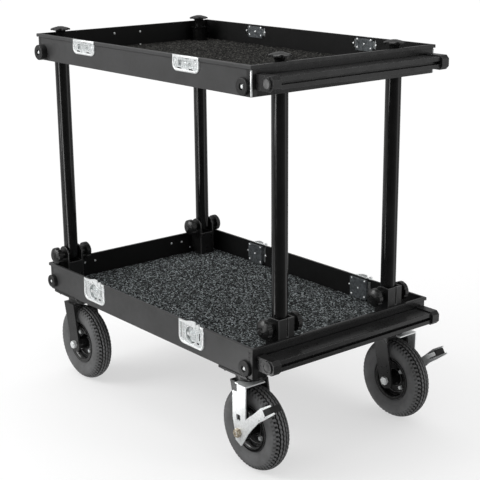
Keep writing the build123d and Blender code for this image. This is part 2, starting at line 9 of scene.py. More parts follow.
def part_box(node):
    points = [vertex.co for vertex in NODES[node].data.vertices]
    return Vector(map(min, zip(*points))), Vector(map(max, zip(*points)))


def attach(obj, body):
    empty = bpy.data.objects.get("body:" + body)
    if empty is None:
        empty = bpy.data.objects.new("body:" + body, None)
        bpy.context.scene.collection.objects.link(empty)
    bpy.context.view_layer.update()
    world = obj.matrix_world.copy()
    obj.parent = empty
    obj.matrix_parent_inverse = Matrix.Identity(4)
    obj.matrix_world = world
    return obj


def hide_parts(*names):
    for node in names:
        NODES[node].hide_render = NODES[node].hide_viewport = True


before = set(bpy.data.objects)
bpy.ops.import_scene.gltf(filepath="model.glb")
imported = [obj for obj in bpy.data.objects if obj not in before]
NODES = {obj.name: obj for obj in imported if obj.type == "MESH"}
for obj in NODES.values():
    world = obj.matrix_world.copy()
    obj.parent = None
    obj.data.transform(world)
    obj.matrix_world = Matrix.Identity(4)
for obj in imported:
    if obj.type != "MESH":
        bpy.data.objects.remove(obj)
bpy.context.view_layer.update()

CORNERS = {
    "front_right": (1, -1),
    "front_left": (1, 1),
    "rear_right": (-1, -1),
    "rear_left": (-1, 1),
}
TRAY_BODY = {"lower": "lower_tray", "upper": "upper_tray"}
MM = 0.001
EDGE_ANGLE = math.radians(32)


def middle(node):
    """Centre of a CAD node's box."""
    low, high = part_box(node)
    return (low + high) / 2


def outer_face(node, sy):
    """Where a CAD node ends in Y on the left (sy 1) or on the right (sy -1)."""
    low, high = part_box(node)
    return high.y if sy > 0 else low.y


def mm(points):
    """Pairs given in millimetres, in metres."""
    return [(first * MM, second * MM) for first, second in points]


def round_edges(piece, width_mm):
    """Bevel every edge that is sharper than the edge angle."""
    bevel = piece.modifiers.new("bevel", "BEVEL")
    bevel.width = width_mm * MM
    bevel.segments = 2
    bevel.limit_method = "ANGLE"
    bevel.angle_limit = EDGE_ANGLE
    bevel.harden_normals = True
    return bevel


# ---------------------------------------------------------------- materials

class Nodes:
    """A small builder for one material's node tree."""

    def __init__(self, name):
        self.material = bpy.data.materials.new(name)
        self.material.use_nodes = True
        self.tree = self.material.node_tree
        self.shader = self.tree.nodes["Principled BSDF"]
        self.place = self.new("ShaderNodeTexCoord").outputs["Object"]

    def new(self, kind, **values):
        node = self.tree.nodes.new(kind)
        for key, value in values.items():
            setattr(node, key, value)
        return node

    def link(self, output, target):
        self.tree.links.new(output, target)

    def noise(self, scale, detail=3.0, roughness=0.55):
        node = self.new("ShaderNodeTexNoise")
        node.inputs["Scale"].default_value = scale
        node.inputs["Detail"].default_value = detail
        node.inputs["Roughness"].default_value = roughness
        self.link(self.place, node.inputs["Vector"])
        return node.outputs["Fac"]

    def spread(self, factor, low, high, start=0.3, end=0.7):
        """Map a 0 to 1 factor onto a range of numbers."""
        node = self.new("ShaderNodeMapRange")
        node.inputs["From Min"].default_value = start
        node.inputs["From Max"].default_value = end
        node.inputs["To Min"].default_value = low
        node.inputs["To Max"].default_value = high
        self.link(factor, node.inputs["Value"])
        return node.outputs["Result"]

    def colours(self, factor, stops):
        """A colour ramp with (position, (r, g, b)) stops."""
        node = self.new("ShaderNodeValToRGB")
        ramp = node.color_ramp
        while len(ramp.elements) < len(stops):
            ramp.elements.new(0.5)
        for element, (position, colour) in zip(ramp.elements, stops):
            element.position = position
            element.color = (*colour, 1)
        self.link(factor, node.inputs["Fac"])
        return node.outputs["Color"]

    def darken(self, factor, colour, dark):
        """Blend an output towards a plain dark colour."""
        node = self.new("ShaderNodeMix", data_type="RGBA")
        colour_inputs = [socket for socket in node.inputs if socket.type == "RGBA"]
        self.link(factor, node.inputs["Factor"])
        self.link(colour, colour_inputs[0])
        colour_inputs[1].default_value = (*dark, 1)
        return next(socket for socket in node.outputs if socket.type == "RGBA")

    def bump(self, height, strength, distance):
        node = self.new("ShaderNodeBump")
        node.inputs["Strength"].default_value = strength
        node.inputs["Distance"].default_value = distance
        self.link(height, node.inputs["Height"])
        self.link(node.outputs["Normal"], self.shader.inputs["Normal"])

    def set(self, name, value):
        if isinstance(value, (int, float)):
            self.shader.inputs[name].default_value = value
        else:
            self.link(value, self.shader.inputs[name])


def grey(value, tint=(1.0, 1.0, 1.0)):
    """A linear grey, tinted by a factor for each of red, green and blue."""
    return tuple(value * part for part in tint)


def coated_metal(name, dark, light, rough, grain=900, shine=0.5):
    """Powder coat over metal: an orange-peel skin with slight mottling."""
    n = Nodes(name)
    n.set("Base Color", n.colours(n.noise(14, detail=5), [(0.3, dark), (0.7, light)]))
    n.set("Roughness", n.spread(n.noise(60), rough - 0.05, rough + 0.07))
    n.set("Specular IOR Level", shine)
    n.bump(n.noise(grain, detail=2), 0.18, 0.0004)
    return n.material


def plated_steel(name, dark, light, rough, scale=160):
    """Bright zinc: patchy crystals, a fine grain and duller handled areas."""
    n = Nodes(name)
    n.set("Base Color", n.colours(n.noise(scale, detail=4), [(0.34, dark), (0.6, light)]))
    n.set("Metallic", 0.55)
    n.set("Roughness", n.spread(n.noise(45, detail=5), rough - 0.08, rough + 0.12))
    n.bump(n.noise(700, detail=2, roughness=0.5), 0.12, 0.0002)
    return n.material


def moulded(name, dark, light, rough, grain=1400, strength=0.25):
    """Moulded plastic or rubber with a fine spark-eroded texture."""
    n = Nodes(name)
    n.set("Base Color", n.colours(n.noise(35, detail=4), [(0.35, dark), (0.7, light)]))
    n.set("Roughness", n.spread(n.noise(90), rough - 0.06, rough + 0.08))
    n.bump(n.noise(grain, detail=2), strength, 0.0003)
    return n.material


def tyre_rubber():
    """Tyre rubber: dusty in patches, and darkened to black in the cut grooves as painted shade."""
    n = Nodes("tyre_rubber")
    body = n.colours(n.noise(26, detail=6), [(0.3, grey(0.080)), (0.7, grey(0.125, (1, 1.01, 1.03)))])
    # Painted shade: the groove depth in the cut attribute blends the rubber towards black.
    depth = n.new("ShaderNodeAttribute", attribute_name="cut")
    n.set("Base Color", n.darken(n.spread(depth.outputs["Fac"], 0, 1, 0.1, 0.7), body, grey(0.003)))
    n.set("Roughness", n.spread(n.noise(80, detail=5), 0.58, 0.82))
    n.bump(n.noise(1100, detail=3), 0.3, 0.0004)
    return n.material


def carpet_pile(name, bright, tint):
    """Salt-and-pepper pile: each small tuft takes its own grey, and painted shade darkens the hollow spots
    between tufts.
    """
    n = Nodes(name)
    cells = n.new("ShaderNodeTexVoronoi")
    cells.inputs["Scale"].default_value = 290
    n.link(n.place, cells.inputs["Vector"])
    split = n.new("ShaderNodeSeparateColor")
    n.link(cells.outputs["Color"], split.inputs["Color"])
    # The bright factor scales the whole pile: 1 for the lower deck, less for the upper deck's painted shade.
    flecks = n.colours(split.outputs["Red"], [
        (0.0, grey(0.004 * bright, tint)), (0.42, grey(0.022 * bright, tint)),
        (0.72, grey(0.10 * bright, tint)), (1.0, grey(0.42 * bright, tint))])
    # Painted shade: low pointiness between the loops darkens the pile towards black.
    hollow_shade = n.spread(n.new("ShaderNodeNewGeometry").outputs["Pointiness"], 1, 0, 0.4, 0.52)
    n.set("Base Color", n.darken(hollow_shade, flecks, grey(0.003)))
    n.set("Roughness", n.spread(n.noise(300), 0.85, 1.0))
    n.set("Specular IOR Level", 0.15)
    n.bump(n.noise(2600, detail=4), 0.7, 0.0006)
    return n.material


def phenolic_board():
    """Black film-faced plywood with a fine pressed weave."""
    n = Nodes("phenolic_board")
    n.set("Base Color", n.colours(n.noise(20), [(0.3, grey(0.014)), (0.7, grey(0.03))]))
    n.set("Roughness", n.spread(n.noise(70), 0.5, 0.66))
    weave = n.new("ShaderNodeTexWave", wave_type="BANDS", bands_direction="DIAGONAL")
    weave.inputs["Scale"].default_value = 220
    n.link(n.place, weave.inputs["Vector"])
    n.bump(weave.outputs["Fac"], 0.2, 0.0003)
    return n.material


def aged_nut():
    """Yellow-passivated steel that has begun to rust."""
    n = Nodes("aged_nut")
    n.set("Base Color", n.colours(n.noise(260, detail=6), [
        (0.3, (0.10, 0.065, 0.04)), (0.5, (0.42, 0.36, 0.27)), (0.7, (0.72, 0.68, 0.58))]))
    n.set("Metallic", 0.6)
    n.set("Roughness", n.spread(n.noise(180), 0.35, 0.7))
    n.bump(n.noise(600), 0.4, 0.0004)
    return n.material


# Brightness of the surroundings in reflections, as (share of a turn, level), anticlockwise from -X.
STUDIO_RING = [
    (0.0, 0.45), (0.11, 0.62), (0.19, 0.40), (0.222, 0.12), (0.236, 4.5), (0.256, 4.5), (0.268, 0.07),
    (0.39, 0.05), (0.50, 0.10), (0.575, 0.25), (0.60, 0.9), (0.635, 0.9), (0.66, 0.25), (0.75, 0.35),
    (1.0, 0.45),
]
FLOOR_WHITE = 1.02  # emission that the camera sees as plain white
FLOOR_GLOW = 0.54  # share of that white in the floor beside the cart
FLOOR_FADE = (0.9, 2.0)  # distances between which the floor runs out into white
SKY_LIGHT = 0.70  # brightness of the surroundings as a light


def studio_ring(tree, place):
    """An output that gives the studio ring's level for a direction or a place."""
    turn = tree.nodes.new("ShaderNodeTexGradient")
    turn.gradient_type = "RADIAL"
    tree.links.new(place, turn.inputs["Vector"])
    curve = tree.nodes.new("ShaderNodeFloatCurve")
    tree.links.new(turn.outputs["Fac"], curve.inputs["Value"])
    brightest = max(level for _, level in STUDIO_RING)
    points = curve.mapping.curves[0].points
    while len(points) < len(STUDIO_RING):
        points.new(0.5, 0.5)
    for point, (around, level) in zip(points, STUDIO_RING):
        point.location = (around, level / brightest)
        point.handle_type = "VECTOR"
    curve.mapping.update()
    scale = tree.nodes.new("ShaderNodeMath")
    scale.operation = "MULTIPLY"
    scale.inputs[1].default_value = brightest
    tree.links.new(curve.outputs["Value"], scale.inputs[0])
    return scale.outputs["Value"]


def choose(tree, switch, off, on):
    """Pick a number or an output by a 0 or 1 switch; 0 takes off, 1 takes on."""
    node = tree.nodes.new("ShaderNodeMix")
    tree.links.new(switch, node.inputs["Factor"])
    for socket, value in ((node.inputs["A"], off), (node.inputs["B"], on)):
        if isinstance(value, float):
            socket.default_value = value
        else:
            tree.links.new(value, socket)
    return node.outputs["Result"]


def plain_floor():
    """Pale studio floor that runs out into even white; mirrored, it shows the studio ring."""
    n = Nodes("pale_floor")
    n.set("Base Color", n.colours(n.noise(0.6), [(0.3, grey(0.94)), (0.7, grey(0.96))]))
    n.set("Roughness", 0.85)
    n.set("Specular IOR Level", 0.1)
    distance = n.new("ShaderNodeVectorMath", operation="LENGTH")
    n.link(n.place, distance.inputs[0])
    rays = n.new("ShaderNodeLightPath")
    ring = studio_ring(n.tree, n.place)
    white = n.new("ShaderNodeEmission")
    n.link(choose(n.tree, rays.outputs["Is Glossy Ray"], FLOOR_WHITE, ring), white.inputs["Strength"])
    blend = n.new("ShaderNodeMixShader")
    share = n.spread(distance.outputs["Value"], FLOOR_GLOW, 1, *FLOOR_FADE)
    n.link(choose(n.tree, rays.outputs["Is Glossy Ray"], share, 1.0), blend.inputs["Fac"])
    n.link(n.shader.outputs["BSDF"], blend.inputs[1])
    n.link(white.outputs["Emission"], blend.inputs[2])
    n.link(blend.outputs["Shader"], n.tree.nodes["Material Output"].inputs["Surface"])
    return n.material


RAIL = coated_metal("rail_coat", grey(0.030), grey(0.042, (1, 1.01, 1.03)), 0.40)
# Painted shade: a darker, flatter copy of the rail coat for the faces that look into a tray.
INNER_PAINTED_SHADE = coated_metal("rail_inside_painted_shade", grey(0.002), grey(0.004), 0.5, shine=0.25)
POST = coated_metal("post_gloss", grey(0.003), grey(0.007), 0.13, grain=400)
BRACKET = coated_metal("bracket_coat", grey(0.006), grey(0.012), 0.30)
BAR = coated_metal("bar_anodised", grey(0.007), grey(0.013, (1, 1, 1.03)), 0.28)
CASTER = coated_metal("caster_coat", grey(0.007), grey(0.014), 0.30)
RIM = coated_metal("rim_gloss", grey(0.003), grey(0.006), 0.14)
# Edge wear and painted highlight: a lighter coat for the bevelled edges, partly rubbed coating and partly the
# light that the edges catch.
WORN_HIGHLIGHT = coated_metal("edge_wear_and_painted_highlight", grey(0.055), grey(0.16), 0.30)
ZINC = plated_steel("zinc_plate", grey(0.82, (0.98, 1, 1)), grey(0.97, (0.98, 1, 1)), 0.34)
# Painted shade: a darker copy of the zinc plate for the recessed fields of latches, catches and keys, against
# the bright raised rims.
SHADED_ZINC_FIELD = plated_steel("zinc_field_painted_shade", grey(0.46, (0.95, 1, 1.01)), grey(0.90, (0.97, 1, 1)), 0.34, 320)
BACKING = plated_steel("zinc_backing", grey(0.09, (0.9, 1, 1.06)), grey(0.20, (0.92, 1, 1.05)), 0.36)
KNOB = moulded("knob_plastic", grey(0.005), grey(0.011), 0.30)
RUBBER = moulded("bumper_rubber", grey(0.004), grey(0.009), 0.5, grain=900)
PAD = moulded("pedal_rubber", grey(0.002), grey(0.005), 0.6, grain=700, strength=0.4)
RECESS = moulded("rough_cast", grey(0.03), grey(0.16), 0.55, grain=500, strength=0.6)
TYRE = tyre_rubber()
# The upper pile is the same carpet at a fifth of the brightness and with a warmer tint; the darkening is
# painted shade.
PILES = {"lower": carpet_pile("carpet_pile", 1.0, (0.94, 1.03, 1.05)),
         "upper": carpet_pile("carpet_pile_upper_painted_shade", 0.20, (1.04, 1.02, 0.94))}
BOARD = phenolic_board()
AGED = aged_nut()


# ---------------------------------------------------------------- carried-over CAD nodes

# The start of a node's name, its material and the width of its rounded edges in mm.
NODE_LOOKS = [
    ("side_rails", RAIL, 0.5), ("end_rails", BAR, 0.5), ("deck_board", BOARD, 0.4),
    ("latch_dishes", SHADED_ZINC_FIELD, 0.4), ("catch_plates", SHADED_ZINC_FIELD, 0.4), ("back_plates", BACKING, 0.3),
    ("bumpers", RUBBER, 0.6), ("accessory_bar", BAR, 0.6), ("post_brackets", BRACKET, 0.8),
    ("post_sockets", POST, 0.6), ("caster_plates", CASTER, 0.5), ("caster_bolts", CASTER, 0.4),
    ("clamp_", KNOB, 1.0), ("star_knob", KNOB, 1.2), ("butterfly", SHADED_ZINC_FIELD, 0.6),
    ("caster_fork", CASTER, 0.8), ("axle", ZINC, 0.5), ("rim_", RIM, 0.6),
    ("brake_plate", ZINC, 0.4), ("brake_lever", ZINC, 0.4), ("post_", POST, 0.6),
]
# Nodes whose rounded edges take the lighter edge coat of wear and painted highlight.
WORN_HIGHLIGHT_NODES = ("side_rails", "end_rails", "accessory_bar", "post_brackets", "rim_", "caster_fork")


def smooth_start():
    """A modifier's node group that drops the imported normals and shades smooth."""
    group = bpy.data.node_groups.new("smooth_start", "GeometryNodeTree")
    for direction in ("INPUT", "OUTPUT"):
        group.interface.new_socket("Geometry", in_out=direction, socket_type="NodeSocketGeometry")
    drop = group.nodes.new("GeometryNodeRemoveAttribute")
    drop.inputs["Name"].default_value = "custom_normal"
    chain = [group.nodes.new("NodeGroupInput"), drop, group.nodes.new("GeometryNodeSetShadeSmooth"),
             group.nodes.new("NodeGroupOutput")]
    for before, after in zip(chain, chain[1:]):
        group.links.new(before.outputs["Geometry"], after.inputs["Geometry"])
    return group


SMOOTH_START = smooth_start()


def soften(piece, width_mm, edge_slot):
    """Round a CAD node's edges by modifiers; the new faces take a material slot, -1 for no change."""
    piece.modifiers.new("smooth_start", "NODES").node_group = SMOOTH_START
    piece.modifiers.new("weld", "WELD").merge_threshold = 0.01 * MM
    round_edges(piece, width_mm).material = edge_slot


def dress_cad_nodes():
    """Every node that stays in view takes a material; the coated ones show wear and a painted highlight along
    their rounded edges.
    """
    for name, piece in NODES.items():
        for start, material, width in NODE_LOOKS:
            if name.startswith(start):
                piece.data.materials.clear()
                piece.data.materials.append(material)
                worn_highlit = name.startswith(WORN_HIGHLIGHT_NODES)
                if worn_highlit:
                    piece.data.materials.append(WORN_HIGHLIGHT)
                soften(piece, width, 1 if worn_highlit else -1)
                break


def paint_shade_inside_trays():
    """Painted shade: the faces that look into a tray are a deeper, flatter black than the outer ones."""
    for name, piece in NODES.items():
        if not name.startswith(("side_rails", "end_rails")):
            continue
        axis = 1 if name.startswith("side") else 0
        centre = middle(f"deck_board_{name.split('_')[-1]}")
        piece.data.materials.append(INNER_PAINTED_SHADE)
        for polygon in piece.data.polygons:
            outward = polygon.center[axis] - centre[axis]
            if polygon.normal[axis] * outward < -0.5 * abs(outward):
                polygon.material_index = 2


def bright_rivets():
    """The rivet heads on the dull back plates keep their bright plating."""
    largest_rivet_face = 1.2 * MM * MM
    for level in ("lower", "upper"):
        piece = NODES[f"back_plates_{level}"]
        piece.data.materials.append(ZINC)
        for polygon in piece.data.polygons:
            if polygon.area < largest_rivet_face:
                polygon.material_index = 1


# ---------------------------------------------------------------- mesh helpers

def show(name, mesh, material, body):
    """Put a mesh into the scene as a smooth piece that rides on a body."""
    mesh.materials.append(material)
    for polygon in mesh.polygons:
        polygon.use_smooth = True
    piece = bpy.data.objects.new(name, mesh)
    bpy.context.scene.collection.objects.link(piece)
    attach(piece, body)
    return piece


def mesh_piece(name, vertices, faces, material, body):
    mesh = bpy.data.meshes.new(name)
    mesh.from_pydata([tuple(v) for v in vertices], [], [tuple(f) for f in faces])
    mesh.validate()
    return show(name, mesh, material, body)


class Shapes:
    """Collects several small forms into one mesh."""

    def __init__(self):
        self.vertices = []
        self.faces = []

    def add(self, vertices, faces):
        offset = len(self.vertices)
        self.vertices += [Vector(v) for v in vertices]
        self.faces += [[i + offset for i in face] for face in faces]

    def lathe(self, centre, axis, profile, steps=32):
        """Turn (radius, height) points about an axis through centre; ends on the axis are closed."""
        turn = Vector((0, 0, 1)).rotation_difference(Vector(axis).normalized()).to_matrix()
        rings = []
        points = []
        for radius, height in profile:
            if radius < 1e-7:
                rings.append([len(points)])
                points.append(Vector((0, 0, height)))
                continue
            ring = []
            for step in range(steps):
                angle = 2 * math.pi * step / steps
                ring.append(len(points))
                points.append(Vector((radius * math.cos(angle), radius * math.sin(angle), height)))
            rings.append(ring)
        faces = []
        for low, high in zip(rings, rings[1:]):
            for step in range(steps):
                after = (step + 1) % steps
                if len(low) == 1:
                    faces.append([low[0], high[after], high[step]][::-1])
                elif len(high) == 1:
                    faces.append([low[step], low[after], high[0]])
                else:
                    faces.append([low[step], low[after], high[after], high[step]])
        self.add([turn @ p + Vector(centre) for p in points], faces)

    def dome(self, centre, axis, radius, height):
        """A rivet head: a low rim under a rounded top, its foot just inside what it sits on."""
        sunk = -0.3 * MM
        rim = 0.15
        arcs = 4
        profile = [(0, sunk), (radius, sunk), (radius, rim * height)]
        for k in range(1, arcs):
            angle = math.pi / 2 * k / arcs
            profile.append((radius * math.cos(angle), height * (rim + (1 - rim) * math.sin(angle))))
        self.lathe(centre, axis, profile + [(0, height)], steps=20)

    def hex_head(self, centre, axis, across, height):
        """A hexagonal head with a chamfered top and a low washer face."""
        radius = across / math.sqrt(3)
        sunk = -0.2 * MM
        washer = radius * 1.15
        self.lathe(centre, axis, [(0, sunk), (washer, sunk), (washer, 0.12 * height), (radius, 0.13 * height),
                                  (radius, 0.85 * height), (radius * 0.84, height), (0, height)], steps=6)

    def slab(self, outline, thickness, place):
        """Extrude a closed (x, y) outline and put it with a 4x4 place."""
        count = len(outline)
        points = [place @ Vector((x, y, z)) for z in (0, thickness) for x, y in outline]
        faces = [list(range(count))[::-1], list(range(count, 2 * count))]
        faces += [[i, (i + 1) % count, (i + 1) % count + count, i + count] for i in range(count)]
        self.add(points, faces)

    def piece(self, name, material, body, bevel_mm=0.0):
        piece = mesh_piece(name, self.vertices, self.faces, material, body)
        if bevel_mm:
            round_edges(piece, bevel_mm)


# ---------------------------------------------------------------- carpets

def loop_heights(low, high, x, y, seed):
    """How high the loop pile stands at each grid point, from 0 between loops to 1 on the tallest."""
    loop = 5.2 * MM
    loop_radius = 0.62 * loop
    rng = np.random.default_rng(seed)
    count_x = int((high.x - low.x) / loop) + 3
    count_y = int((high.y - low.y) / loop) + 3
    shift = rng.uniform(-0.32, 0.32, (count_x, count_y, 2))
    size = rng.uniform(0.55, 1.0, (count_x, count_y))
    cell_x = ((x - low.x) / loop).astype(int)
    cell_y = ((y - low.y) / loop).astype(int)
    height = np.zeros_like(x)
    for dx in (-1, 0, 1):
        for dy in (-1, 0, 1):
            i = np.clip(cell_x + dx, 0, count_x - 1)
            j = np.clip(cell_y + dy, 0, count_y - 1)
            loop_x = low.x + (i + 0.5 + shift[i, j, 0]) * loop
            loop_y = low.y + (j + 0.5 + shift[i, j, 1]) * loop
            away = ((x - loop_x) ** 2 + (y - loop_y) ** 2) / loop_radius ** 2
            height = np.maximum(height, size[i, j] * np.sqrt(np.clip(1 - away, 0, 1)))
    return height


def clear_of_posts(level, x, y):
    """True where the carpet is not cut out for a post's socket or bracket."""
    socket_radius = 26.5 * MM
    bracket_reach = 24.5 * MM
    bracket_half = 25 * MM
    keep = np.ones(x.shape, bool)
    for corner, (sx, _) in CORNERS.items():
        post = middle(f"post_{corner}")
        if level == "upper":
            keep &= (x - post.x) ** 2 + (y - post.y) ** 2 > socket_radius ** 2
        else:
            inner = post.x - sx * bracket_reach
            beside = np.abs(y - post.y) < bracket_half
            keep &= ~(beside & ((x - inner) * sx > 0))
    return keep


def close_below(mesh, floor):
    """Hang a skirt from the open border of a sheet down to the floor, and fill the underside."""
    form = bmesh.new()
    form.from_mesh(mesh)
    border = [edge for edge in form.edges if edge.is_boundary]
    skirt = bmesh.ops.extrude_edge_only(form, edges=border)["geom"]
    for item in skirt:
        if isinstance(item, bmesh.types.BMVert):
            item.co.z = floor
    foot = [item for item in skirt if isinstance(item, bmesh.types.BMEdge)]
    bmesh.ops.triangle_fill(form, edges=foot, use_beauty=False)
    bmesh.ops.recalc_face_normals(form, faces=form.faces)
    form.to_mesh(mesh)
    form.free()


def carpet(level, seed):
    """A loop-pile sheet with a soft uneven top, cut out round what stands on the board."""
    node = f"carpet_{level}"
    low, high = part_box(node)
    pitch = 2.3 * MM
    relief = 3.0 * MM
    xs = np.arange(low.x, high.x + pitch / 2, pitch)
    ys = np.arange(low.y, high.y + pitch / 2, pitch)
    xs[-1], ys[-1] = high.x, high.y
    x, y = np.meshgrid(xs, ys, indexing="ij")
    z = high.z - relief + relief * loop_heights(low, high, x, y, seed)
    keep = clear_of_posts(level, (x[:-1, :-1] + x[1:, 1:]) / 2, (y[:-1, :-1] + y[1:, 1:]) / 2)
    index = np.arange(x.size).reshape(x.shape)
    quads = np.stack([index[:-1, :-1], index[1:, :-1], index[1:, 1:], index[:-1, 1:]], -1)[keep]
    used, packed = np.unique(quads, return_inverse=True)
    vertices = np.stack([x, y, z], -1).reshape(-1, 3)[used]

    mesh = bpy.data.meshes.new(f"pile_{level}")
    mesh.from_pydata(vertices.tolist(), [], packed.reshape(-1, 4).tolist())
    close_below(mesh, low.z + 0.1 * MM)
    piece = show(f"pile_{level}", mesh, PILES[level], TRAY_BODY[level])
    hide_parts(node)


# ---------------------------------------------------------------- tyres

ZIGZAGS = 56
GROOVE_DEPTH = 3.0 * MM
RIB_GAP = 0.42  # share of a zig-zag's length that lies between two ribs


def tyre_profile(radius, half, bead_radius):
    """Section points (offset, radius, is tread) from one bead over the crown to the other."""
    bead_half = 17.5 * MM
    bead_top = bead_radius + 4 * MM
    shoulder = 19.0 * MM
    crown = 7 * MM
    shoulder_radius = radius - crown
    bulge_radius = 80 * MM
    bulge = 2 * half - (bead_half + shoulder) / 2
    wall_steps, crown_steps = 16, 44
    wall = []
    for k in range(wall_steps):
        t = k / wall_steps
        r = (1 - t) ** 2 * bead_top + 2 * t * (1 - t) * bulge_radius + t * t * shoulder_radius
        x = (1 - t) ** 2 * bead_half + 2 * t * (1 - t) * bulge + t * t * shoulder
        wall.append((min(x, half), r))
    points = [(-x, r, False) for x, r in wall]
    for k in range(crown_steps + 1):
        t = 2 * k / crown_steps - 1
        points.append((t * shoulder, shoulder_radius + crown * (1 - t * t), True))
    return points + [(x, r, False) for x, r in reversed(wall)]


def tread_cut(offset, phase):
    """Depth of the tread at a distance from the middle plane and a share of one zig-zag."""
    groove_half = 2.1 * MM
    swing = (4 * abs(phase - 0.5) - 1) * 1.1 * MM
    depth = 0.0
    for k, place in enumerate((-12.0, -4.2, 4.2, 12.0)):
        side = 1 if k % 2 else -1
        away = abs(offset - place * MM - side * swing)
        depth = max(depth, GROOVE_DEPTH * max(0.0, 1 - (away / groove_half) ** 4))
    if abs(offset) > 15.5 * MM:
        depth = max(depth, 2.2 * MM * (phase < RIB_GAP))
    return depth


def wall_cut(r, radius, phase):
    """Depth of the side wall's pattern: two rows of short ribs, and two rings lower down."""
    rib_band = 14 * MM
    rib_row = 3.5 * MM
    if r > radius - rib_band:
        row_phase = (phase + 0.25 * int((radius - r) / rib_row)) % 1
        return 1.1 * MM * (row_phase < RIB_GAP)
    if abs(r - 70 * MM) < 1.4 * MM or abs(r - 61 * MM) < 1.2 * MM:
        return 0.5 * MM
    return 0.0


def tyre(corner):
    """Pneumatic tyre with zig-zag grooves, shoulder ribs and rings on the side wall."""
    node = f"tyre_{corner}"
    low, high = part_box(node)
    centre = (low + high) / 2
    radius, half = (high.z - low.z) / 2, (high.y - low.y) / 2
    profile = tyre_profile(radius, half, 52 * MM)
    narrowing = 60 * MM
    steps = 336
    vertices = []
    groove_shade_weights = []
    for step in range(steps):
        angle = 2 * math.pi * step / steps
        phase = (ZIGZAGS * step / steps) % 1
        for offset, r, is_tread in profile:
            cut = tread_cut(offset, phase) if is_tread else wall_cut(r, radius, phase)
            groove_shade_weights.append(cut / GROOVE_DEPTH)
            vertices.append((centre.x + (r - cut) * math.cos(angle),
                             centre.y + offset * (1 - cut / narrowing),
                             centre.z + (r - cut) * math.sin(angle)))
    count = len(profile)
    faces = []
    for step in range(steps):
        row, next_row = step * count, (step + 1) % steps * count
        for k in range(count):
            k2 = (k + 1) % count
            faces.append((row + k, row + k2, next_row + k2, next_row + k))
    piece = mesh_piece(f"tread_{corner}", vertices, faces, TYRE, f"wheel_{corner}")
    # The groove depths also drive the rubber's painted shade.
    piece.data.attributes.new("cut", "FLOAT", "POINT").data.foreach_set("value", groove_shade_weights)
    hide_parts(node)


def wheel_details(corner):
    """Rim bolts and a hub ring on both faces, and a capped valve."""
    centre = middle(f"rim_{corner}")
    bolt_circle = 31 * MM
    bolts = Shapes()
    for side in (-1, 1):
        for k in range(4):
            angle = math.radians(45 + 90 * k)
            x = centre.x + bolt_circle * math.cos(angle)
            z = centre.z + bolt_circle * math.sin(angle)
            bolts.hex_head((x, centre.y + side * 3.2 * MM, z), (0, side, 0), 10 * MM, 5 * MM)
        bolts.lathe((centre.x, centre.y + side * 30.6 * MM, centre.z), (0, side, 0),
                    mm([(7.2, -1), (12.2, -1), (12.2, 0.8), (11, 1.4), (7.2, 1.4), (7.2, -1)]), steps=40)
    bolts.piece(f"rim_bolts_{corner}", ZINC, f"wheel_{corner}", 0.3)
    angle = math.radians(100)
    valve_radius = 43 * MM
    base = Vector((centre.x + valve_radius * math.cos(angle), centre.y - 10 * MM,
                   centre.z + valve_radius * math.sin(angle)))
    valve = Shapes()
    valve.lathe(base, (0, -1, 0.25), mm([(0, 0), (3.6, 0), (3.6, 5), (2.6, 6), (2.6, 10), (3.2, 10.5),
                                         (3.2, 15), (0, 15.6)]), steps=18)
    valve.piece(f"valve_{corner}", RUBBER, f"wheel_{corner}", 0.2)


# ---------------------------------------------------------------- latches

def rounded_u(half, top, bottom, radius):
    """Outline of a latch plate: square at the top, rounded below."""
    steps = 8
    points = [(half, top), (-half, top)]
    for side in (-1, 1):
        start = 180 if side < 0 else 270
        for k in range(steps + 1):
            angle = math.radians(start + 90 * k / steps)
            points.append((side * (half - radius) + radius * math.cos(angle),
                           bottom + radius + radius * math.sin(angle)))
    return points


def bead(shapes, outline, place, width, height):
    """A raised rounded bead along a closed outline of (x, z) points."""
    count = len(outline)
    section = [(-1, 0), (-0.7, 0.7), (0, 1), (0.7, 0.7), (1, 0)]
    wide = len(section)
    vertices = []
    for k, (x, z) in enumerate(outline):
        before = Vector(outline[k - 1])
        after = Vector(outline[(k + 1) % count])
        along = (after - before).normalized()
        across = Vector((-along.y, along.x))
        for u, v in section:
            vertices.append(place @ Vector((x + across.x * u * width / 2, z + across.y * u * width / 2,
                                            v * height)))
    faces = []
    for k in range(count):
        k2 = (k + 1) % count
        for j in range(wide - 1):
            faces.append([k * wide + j, k * wide + j + 1, k2 * wide + j + 1, k2 * wide + j])
        faces.append([k * wide + wide - 1, k * wide, k2 * wide, k2 * wide + wide - 1])
    shapes.add(vertices, faces)


def wall_place(x, y, z, sy):
    """A frame on a long wall: first axis along X, second up, third outward."""
    return Matrix.Translation((x, y, z)) @ Matrix(((1, 0, 0, 0), (0, 0, sy, 0), (0, 1, 0, 0), (0, 0, 0, 1)))


def slot_outline(x, z, width, height):
    """A round-ended slot lying along its longer side, as closed (x, z) points."""
    radius = min(width, height) / 2
    steps = 4
    points = []
    for quarter, (sx, sz) in enumerate(((1, 1), (-1, 1), (-1, -1), (1, -1))):
        for k in range(steps + 1):
            angle = math.radians(90 * (quarter + k / steps))
            points.append((x + sx * (width / 2 - radius) + radius * math.cos(angle),
                           z + sz * (height / 2 - radius) + radius * math.sin(angle)))
    return points


def punched_slots(name, slots, key_x, top, face, sy, body):
    """Low pressed collars, each round a near-black sheet of painted shade where the slot is punched; a slot
    is (x, drop from the top, width, height) in mm.
    """
    collars, holes = Shapes(), Shapes()
    place = wall_place(key_x, face, top, sy)
    for x, drop, width, height in slots:
        outline = slot_outline(x * MM, -drop * MM, width * MM, height * MM)
        bead(collars, outline, place, 0.9 * MM, 0.6 * MM)
        # Painted shade: a thin near-black sheet stands in each punched slot.
        holes.slab(outline, 0.15 * MM, place)
    collars.piece(f"{name}_collars", ZINC, body)
    holes.piece(f"{name}_hole_shade", PAD, body)


